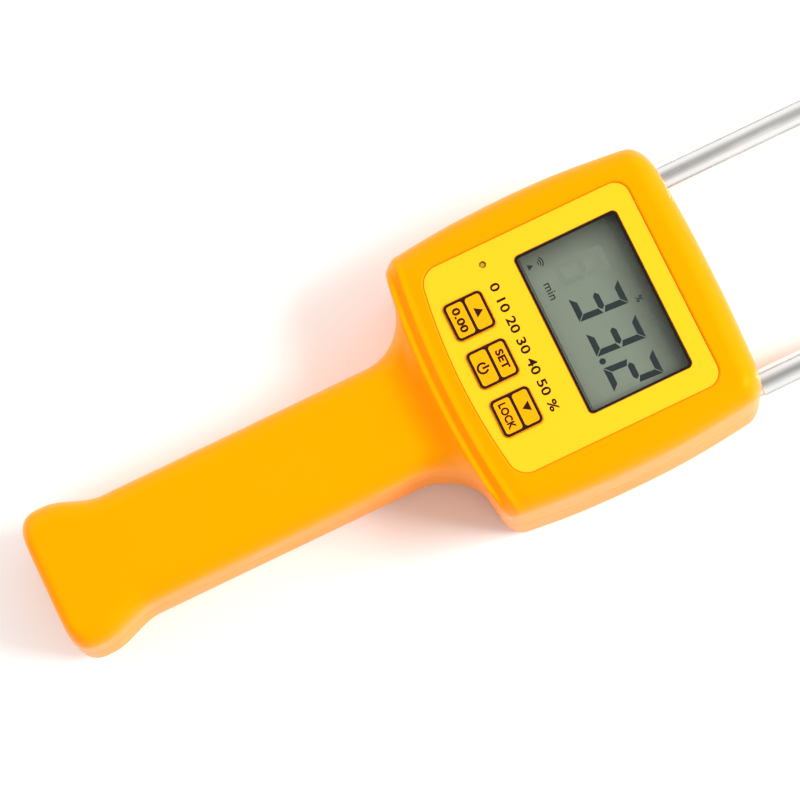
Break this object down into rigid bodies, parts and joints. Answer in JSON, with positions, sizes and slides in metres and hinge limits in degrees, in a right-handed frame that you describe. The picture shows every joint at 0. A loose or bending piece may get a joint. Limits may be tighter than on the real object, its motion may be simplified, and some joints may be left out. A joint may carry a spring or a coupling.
{
  "type": "moisture meter",
  "caption": "Handheld moisture meter with a display head, a flared battery handle, press keys and two long pointed steel probe rods.",
  "frame": {"origin": "on the resting plane, under the middle of the length from the handle end to the probe tips and on the centre plane", "axes": "+Y from the handle end to the probe tips, +Z out of the display face, +X to the right when the face is seen with the handle towards the reader"},
  "size_m": [0.075, 0.46, 0.035],
  "materials": {
    "casing": "moulded, fine satin grain",
    "label_film": "printed polycarbonate film",
    "clear_window": "clear acrylic",
    "lcd_glass": "grey-green reflective display glass",
    "black_plastic": "moulded",
    "conductive_rubber": "layered strip",
    "circuit_board": "solder mask",
    "plated_metal": "nickel plated",
    "component_sleeve": "printed sleeve",
    "led_lens": "diffused lens, unlit",
    "key_caps": "silicone with a coated face",
    "white_plastic": "moulded",
    "probe_steel": "polished stainless steel",
    "socket_brass": "machined",
    "black_sleeve": "wire insulation",
    "red_sleeve": "wire insulation",
    "cell_jacket": "printed metal can"
  },
  "bodies": {
    "casing": {"front_shell": "casing", "back_shell": "casing", "label_overlay": "label_film", "display_window": "clear_window", "lcd_panel": "lcd_glass", "lcd_frame": "black_plastic", "zebra_connectors": "conductive_rubber", "main_board": "circuit_board", "controller_chip": "black_plastic", "crystal": "plated_metal", "capacitors": "component_sleeve", "resistors": "black_plastic", "trimmer": "component_sleeve", "status_led": "led_lens", "key_switches": "black_plastic", "probe_rod_left": "probe_steel", "probe_rod_right": "probe_steel", "probe_tip_left": "probe_steel", "probe_tip_right": "probe_steel", "probe_socket_left": "socket_brass", "probe_socket_right": "socket_brass", "clamp_screws": "plated_metal", "probe_lugs": "plated_metal", "probe_wire_left": "black_sleeve", "probe_wire_right": "black_sleeve", "cell_1": "cell_jacket", "cell_2": "cell_jacket", "cell_3": "cell_jacket", "cell_4": "cell_jacket", "battery_springs": "plated_metal", "battery_contacts": "plated_metal", "battery_lead_red": "red_sleeve", "battery_lead_black": "black_sleeve", "case_screws": "plated_metal", "board_screws": "plated_metal"},
    "zero_key": {"zero_key": "key_caps", "zero_plunger": "white_plastic"},
    "power_key": {"power_key": "key_caps", "power_plunger": "white_plastic"},
    "hold_key": {"hold_key": "key_caps", "hold_plunger": "white_plastic"},
    "battery_door": {"battery_door": "casing"}
  },
  "joints": [
    {"name": "zero_key_press", "type": "slide", "parent": "casing", "child": "zero_key", "axis": [0, 0, -1], "range_m": [0, 0.0005], "stiffness_N_per_m": 500, "springref_m": -0.002},
    {"name": "power_key_press", "type": "slide", "parent": "casing", "child": "power_key", "axis": [0, 0, -1], "range_m": [0, 0.0005], "stiffness_N_per_m": 500, "springref_m": -0.002},
    {"name": "hold_key_press", "type": "slide", "parent": "casing", "child": "hold_key", "axis": [0, 0, -1], "range_m": [0, 0.0005], "stiffness_N_per_m": 500, "springref_m": -0.002},
    {"name": "battery_door_swing", "type": "hinge", "parent": "casing", "child": "battery_door", "pos_m": [0, -0.209, 0.0022], "axis": [-1, 0, 0], "range_deg": [0, 40]}
  ]
}
